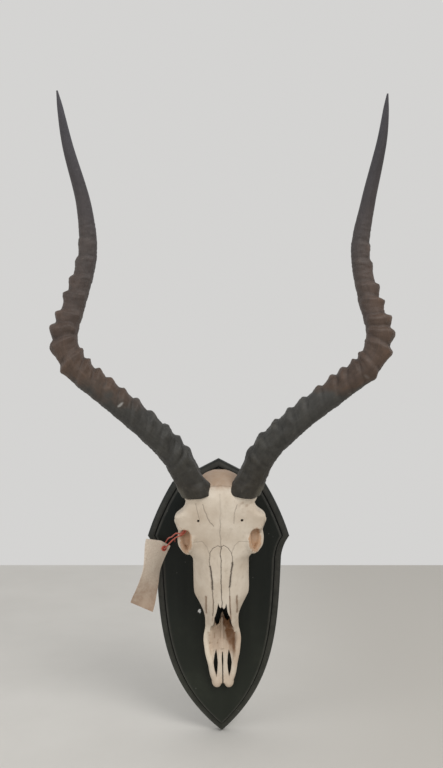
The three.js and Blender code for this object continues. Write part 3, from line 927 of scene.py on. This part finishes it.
def skull_form():
    """The skull as one smooth closed skin, in the head's millimetres."""
    cheekbones = []
    hollows = [ellipsoid(*NOSE_HOLLOW, 56, 40), ellipsoid(*NECK_OPENING)]
    ports = [plate(opening, *PALATE_HEIGHTS) for opening in (MIDDLE_SLIT, THROAT)]
    ports.append(plate(NASAL_FORK, *NASAL_FORK_HEIGHTS))
    shells = [plate(NASAL_FLOOR, *NASAL_FLOOR_HEIGHTS), plate(NASAL_RIDGE, *NASAL_RIDGE_HEIGHTS)]
    shells += [pedicle("left"), pedicle("right")]
    for side in (-1, 1):
        cheekbones.append(rounded(side, CHEEKBONE))
        hollows += [rounded(side, form) for form in (EYE_HOLLOW, EYE_FRONT, TEMPLE_HOLLOW)]
        ports.append(rod(beside(side, BROW_HOLE), BROW_HOLE_RADII, 16))
        ports.append(plate([(side * x, up) for x, up in PALATE_SLOT], *PALATE_HEIGHTS))
        shells += cheek(side) + muzzle(side) + cheek_teeth(side)
        shells.append(rounded(side, NECK_BUMP))
    whole = bmesh.new()
    whole.from_mesh(carved(joined(cranium(), cheekbones), hollows))
    for shell in shells:
        whole.from_mesh(mesh_from(shell, "shell"))
    body = object_from(mesh_from(whole, "bone"), "bone")
    skin = body.modifiers.new("skin", "REMESH")
    skin.mode = "VOXEL"
    skin.voxel_size = BONE_VOXEL
    relax = body.modifiers.new("relax", "SMOOTH")
    relax.factor = 0.5
    relax.iterations = 3
    return carved(settled(body), ports)


def distance_to_line(x, up, points):
    nearest = 1e9
    for (x0, up0), (x1, up1) in zip(points, points[1:]):
        dx, dup = x1 - x0, up1 - up0
        t = min(max(((x - x0) * dx + (up - up0) * dup) / (dx * dx + dup * dup), 0), 1)
        nearest = min(nearest, math.hypot(x - x0 - dx * t, up - up0 - dup * t))
    return nearest


def face_place(v):
    """Where a point lies on the face: x and up, with the seams' waver in them."""
    waver = 1.1 * noise.noise(Vector((v.co.x * 0.12, v.co.z * 0.12, 3)))
    ripple = 0.35 * noise.noise(Vector((v.co.x * 0.6, v.co.z * 0.6, 8)))
    return v.co.x + waver + ripple, v.co.z + waver - ripple


def on_face(v):
    return v.normal.y < -0.15 and v.co.y < -25


def nearest_seam(v):
    x, up = face_place(v)
    return min(distance_to_line(x, up, seam[0]) for seam in SEAMS)


def seam_at(x, up):
    """Depth and darkness of the seams at a place on the face."""
    depth, dark = 0, 0
    for points, width, deep, darkness in SEAMS:
        near = hill(distance_to_line(x, up, points), width)
        if near > 0.02:
            depth = max(depth, deep * near)
            dark = max(dark, darkness * near)
    return depth, dark


def refine_seams(bm):
    """Finer faces along the seams, so that they can be cut narrow."""
    bm.normal_update()
    close = {v for v in bm.verts if on_face(v) and nearest_seam(v) < SEAM_REACH}
    edges = [e for e in bm.edges if e.verts[0] in close and e.verts[1] in close]
    bmesh.ops.subdivide_edges(bm, edges=edges, cuts=2, use_grid_fill=True)
    bm.normal_update()


def eye_tan(x, up, out, rough):
    """How tan the bone is in and round an eye socket, and in the flecks on the brow above it."""
    sideways, deep = abs(x) - ORBIT_X, out - ORBIT_OUT
    behind_rim = -sideways * math.cos(ORBIT_FACING) - deep * math.sin(ORBIT_FACING)
    back = sideways * math.sin(ORBIT_FACING) - deep * math.cos(ORBIT_FACING)
    from_axis = math.hypot(back, up - ORBIT_UP) + 1.6 * rough
    inside = (1 - smooth(17.5, 20, from_axis)) * smooth(-2, 0.5, behind_rim)
    seen_up = up - SIGHT_DROP * deep
    patch_x = (abs(x) - EYE_PATCH[0]) / EYE_PATCH_SIZE[0]
    patch_up = (seen_up - EYE_PATCH[1]) / EYE_PATCH_SIZE[1]
    patch = 1 - smooth(0.9, 1.06, math.hypot(patch_x, patch_up) + 0.16 * rough)
    flecks = 0.6 * hill(from_axis - 22, 2.5) * smooth(0.05, 0.4, rough) * smooth(192, 203, up)
    return max(0.6 * inside, patch, flecks)


def nose_tones(x, up, out, rough):
    """How tan and how brown the floor of the nose is, and how much near-black painted shade lies deep in
    it. Its right half is the brown one.
    """
    floor = 1 - smooth(14.5, 16.5, abs(x) + 0.6 * rough)
    floor *= smooth(36, 50, up) * (1 - smooth(112, 118, up))
    floor *= 1 - smooth(13.5, 19, out - 0.14 * max(up - 60, 0))
    ridge_edge = 1.2 + 0.2 * max(80 - up, 0)
    brown = smooth(-0.8, 1.4, x - ridge_edge + 1.5 * rough)
    brown *= 1 - 0.5 * smooth(58, 48, up + 3 * rough) * (1 - smooth(11, 13, x))
    fleck = smooth(0.34, 0.5, noise.noise(Vector((x * 0.5, up * 0.32, 5)))) * (1 - smooth(-3, -1, x))
    # Painted shade: near black deep in the floor of the nose, where the cavity runs back into darkness.
    black = smooth(72, 82, up) * floor * smooth(8, 9.5, abs(x))
    return 0.42 * floor, floor * max(brown, 0.5 * fleck), black


def bone_tones(v):
    """How tan and how brown the bone is at a point, how much painted shade darkens it and how much
    painted highlight lightens it.
    """
    x, out, up = v.co.x, -v.co.y, v.co.z
    rough = noise.noise(v.co * 0.35)
    nose_tan, nose_brown, nose_shade = nose_tones(x, up, out, rough)
    # The back of the braincase is tan, with painted shade as it slopes away.
    rear = smooth(243, 251, up + 2 * rough)
    # Painted shade: tan on bone that faces sideways or backwards close to the shield.
    under = 0.6 * (1 - smooth(-0.2, 0.4, -v.normal.y)) * (1 - smooth(20, 40, out))
    right_arm = 0.4 * smooth(11, 14, x) * smooth(20, 34, up) * (1 - smooth(62, 78, up))
    tips = 0.25 * (1 - smooth(8, 26, up + 5 * rough))
    smudge = 0.5 * hill(math.hypot(x - 28, up - 228), 7) * smooth(0, 0.4, noise.noise(v.co * 0.22))
    groove = 0
    if on_face(v):
        groove = 0.8 * hill(distance_to_line(abs(x), up, NASAL_GROOVE), 1.0)
        edge_brown = 0.8 if x > 0 else 0.45
        groove = max(groove, edge_brown * hill(distance_to_line(abs(x), up, NOSE_EDGE), 0.8))
    tan = max(eye_tan(x, up, out, rough), nose_tan, 0.75 * rear, under, right_arm, tips)
    # Painted highlight: the left arm of the jaw made paler.
    left_arm_highlight = 0.7 * smooth(10.5, 13, -x) * smooth(24, 36, up) * (1 - smooth(70, 84, up))
    return tan, max(nose_brown, smudge, groove), max(nose_shade, 0.26 * rear), left_arm_highlight


def make_skull(finish):
    bm = bmesh.new()
    bm.from_mesh(skull_form())
    refine_seams(bm)
    # The shade layer holds painted shade and the pale layer a painted highlight.
    layers = [bm.verts.layers.float.new(name) for name in ("suture", "tan", "stain", "shade", "pale")]
    for v in bm.verts:
        depth, dark = seam_at(*face_place(v)) if on_face(v) else (0, 0)
        for layer, amount in zip(layers, (dark, *bone_tones(v))):
            v[layer] = amount
        swell = 0.3 * noise.noise(v.co * 0.06) + 0.12 * noise.noise(v.co * 0.25)
        v.co += v.normal * (swell - depth)
    mesh = mesh_from(bm, "skull_bone")
    mesh.transform(HEAD_PLACE)
    finish_piece(object_from(mesh, "skull_bone"), "skull", finish)


# Shield

def shares(steps, after_start, before_end):
    """Even shares of a curve, with room left beside the corners for the moulding's mitres."""
    span = 1 - after_start - before_end
    return [after_start + span * k / steps for k in range(steps + 1)] + [1] * (before_end > 0)


def bend(start, control, end, places):
    """Points of a curve with one control point, without its start."""
    start, control, end = Vector(start), Vector(control), Vector(end)
    return [start * (1 - t) ** 2 + control * 2 * t * (1 - t) + end * t**2 for t in places]


def double_bend(start, first, second, end, places):
    """Points of a curve with two control points, without its start."""
    start, first, second, end = Vector(start), Vector(first), Vector(second), Vector(end)
    return [
        start * (1 - t) ** 3 + first * 3 * t * (1 - t) ** 2 + second * 3 * t * t * (1 - t) + end * t**3
        for t in places
    ]


def shield_side(side, low_bow):
    """One side of the outline, from the apex down to the foot, with both ends."""
    apex, shoulder, shoulder_bow, ear, notch, waist, high_bow = (
        (side * x, up) for x, up in ((0, SHIELD_TOP), SHOULDER, SHOULDER_BOW, EAR, NOTCH, WAIST, HIGH_BOW)
    )
    points = [Vector(apex), Vector(shoulder)]
    points += bend(shoulder, shoulder_bow, ear, shares(14, 0.06, 0.1))
    points += bend(ear, notch, waist, shares(8, 0.28, 0))
    points += double_bend(waist, high_bow, low_bow, (FOOT_X, -SHIELD_TOP), shares(40, 0.03, 0.055))
    return points


def shield_outline():
    return shield_side(1, LOW_BOW_RIGHT) + shield_side(-1, LOW_BOW_LEFT)[-2:0:-1]


def make_shield(finish):
    bm = bmesh.new()
    face = bm.faces.new([bm.verts.new((x, 0, up)) for x, up in shield_outline()])
    bmesh.ops.recalc_face_normals(bm, faces=bm.faces)
    if face.normal.y < 0:
        face.normal_flip()
    front = bmesh.ops.extrude_face_region(bm, geom=[face], use_keep_orig=True)
    top = next(g for g in front["geom"] if isinstance(g, bmesh.types.BMFace))
    bmesh.ops.translate(bm, verts=top.verts, vec=(0, -EDGE_LIP, 0))
    top.normal_flip()
    bm.normal_update()

    wear_layer = bm.verts.layers.float.new("edge_wear_and_highlight")
    groove_layer = bm.verts.layers.float.new("groove")

    def step_in(inset, rise, edge_wear_and_highlight=0, groove=0):
        bmesh.ops.inset_region(
            bm, faces=[top], thickness=inset, depth=0, use_even_offset=True, use_boundary=True
        )
        bmesh.ops.translate(bm, verts=top.verts, vec=(0, -rise, 0))
        for v in top.verts:
            v[wear_layer] = edge_wear_and_highlight
            v[groove_layer] = groove

    def quarter_round(size, steps, edge_wear_and_highlight):
        for k in range(steps):
            a, b = (math.pi / 2 * j / steps for j in (k, k + 1))
            share = (k + 1) / steps
            step_in(size * (math.cos(a) - math.cos(b)), size * (math.sin(b) - math.sin(a)), edge_wear_and_highlight(share))

    # The wear marks (worn paint with a painted highlight) go on the rounded edges and flat, the groove
    # marks (painted shade) in the quirk and on the field's wall.
    quarter_round(OVOLO, 9, lambda share: smooth(0.3, 0.6, share))
    step_in(OVOLO_FLAT, 0, 1)
    step_in(QUIRK_SIDE, -QUIRK, 0, 1)
    step_in(FIELD_INSET - OVOLO - OVOLO_FLAT - QUIRK_SIDE, 0, 0, 1)
    step_in(FIELD_WALL, SHIELD_THICKNESS - EDGE_LIP - OVOLO - FIELD_ROUND + QUIRK, 0, 0.4)
    quarter_round(FIELD_ROUND, 6, lambda share: 1 - smooth(0.7, 1, share))
    bmesh.ops.recalc_face_normals(bm, faces=bm.faces)
    bmesh.ops.scale(bm, verts=bm.verts, vec=(MM, MM, MM))
    board = object_from(mesh_from(bm, "shield_board"), "shield_board")
    finish_piece(board, "shield", finish)
    creases = board.modifiers.new("creases", "EDGE_SPLIT")
    creases.split_angle = SHIELD_CREASE


# Label and string

card_line = Path(TAG_LINE)
card_turn = through(TAG_TURN)


def card_axes(share):
    """The card's middle at a share of its length, and the directions across, through and along it."""
    point, side, _, along = card_line.axes(share * card_line.length)
    across = Matrix.Rotation(math.radians(card_turn(share)), 3, along) @ side
    return point, across, along.cross(across), along


def card_hole():
    """The middle of the label's hole, and the directions across, through and along the card there."""
    point, across, inward, along = card_axes(1 - TAG_HOLE_BELOW_TOP / TAG_LENGTH)
    return point + across * TAG_HOLE_ACROSS, across, inward, along


def make_tag(finish):
    bm = bmesh.new()
    bmesh.ops.create_grid(bm, x_segments=24, y_segments=64, size=0.5)
    for v in bm.verts:
        share, offset = v.co.y + 0.5, v.co.x * TAG_WIDTH
        point, across, inward, along = card_axes(share)
        warp = TAG_WARP * noise.noise(Vector((offset * 0.12, share * 6, 1)))
        clipped = -TAG_CLIP * max(offset - TAG_CLIP_FROM, 0) * smooth(0.9, 1, share)
        skew = -TAG_SKEW * offset * (1 - share) + clipped + TAG_HEAD * smooth(0.93, 1, share)
        offset *= 1 + TAG_FLARE * smooth(0.7, 1, share)
        v.co = point + across * offset + along * skew + inward * warp
    bmesh.ops.recalc_face_normals(bm, faces=bm.faces)
    bmesh.ops.solidify(bm, geom=bm.faces[:], thickness=TAG_THICKNESS)
    middle, across, _, along = card_hole()
    punch = bmesh.new()
    bmesh.ops.create_cone(
        punch, cap_ends=True, segments=32, radius1=TAG_HOLE_RADIUS, radius2=TAG_HOLE_RADIUS, depth=6
    )
    turn = Matrix((across, along, across.cross(along))).transposed()
    bmesh.ops.rotate(punch, verts=punch.verts, matrix=turn)
    bmesh.ops.translate(punch, verts=punch.verts, vec=middle)
    mesh = carved(mesh_from(bm, "card_label"), [punch])
    mesh.transform(Matrix.Scale(MM, 4))
    card = object_from(mesh, "card_label")
    finish_piece(card, "tag", finish)
    creases = card.modifiers.new("creases", "EDGE_SPLIT")
    creases.split_angle = TAG_CREASE


def thread(points, radii):
    """A rod of string through points of the part's own frame."""
    return mesh_from(rod([(x, z, -y) for x, y, z in points], radii, 12, 0.5), "thread")


def make_string_ends(finish):
    """The loop wound round the label's hole, and the frayed end that hangs from the string."""
    middle, across, inward, along = card_hole()
    loop = []
    for k in range(LOOP_STEPS + 1):
        turns = LOOP_TURNS * k / LOOP_STEPS
        radius = LOOP_RADIUS - LOOP_CLOSING * turns
        angle = 2 * math.pi * turns + LOOP_START
        lift = inward * (-0.9 - 0.5 * turns)
        loop.append(middle + (across * math.cos(angle) + along * math.sin(angle)) * radius + lift)
    bm = bmesh.new()
    bm.from_mesh(thread(loop, [STRING_RADIUS] * len(loop)))
    bm.from_mesh(thread(FRAYED_END, FRAYED_END_RADII))
    bmesh.ops.scale(bm, verts=bm.verts, vec=(MM, MM, MM))
    ends = object_from(mesh_from(bm, "string_ends"), "string_ends")
    ends.data.materials.append(finish)
    for polygon in ends.data.polygons:
        polygon.use_smooth = True
    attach(ends, "root")
    return ends


def make_string(finish):
    route = Path(STRING_ROUTE)
    data = bpy.data.curves.new("red_string", "CURVE")
    data.dimensions = "3D"
    data.bevel_depth = STRING_RADIUS * MM
    data.bevel_resolution = 4
    data.use_fill_caps = True
    spline = data.splines.new("POLY")
    spline.points.add(STRING_POINTS - 1)
    for k, p in enumerate(spline.points):
        p.co = (*(route.at(route.length * k / (STRING_POINTS - 1))[0] * MM), 1)
    string = object_from(data, "red_string")
    data.materials.append(finish)
    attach(string, "root")
    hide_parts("string")
    make_string_ends(finish)


set_up_camera()
make_string(string_finish())
make_tag(card_finish())
set_up_stage()
dark_horn = horn_finish()
make_horn("left", dark_horn)
make_horn("right", dark_horn)
make_skull(bone_finish())
make_shield(shield_finish())
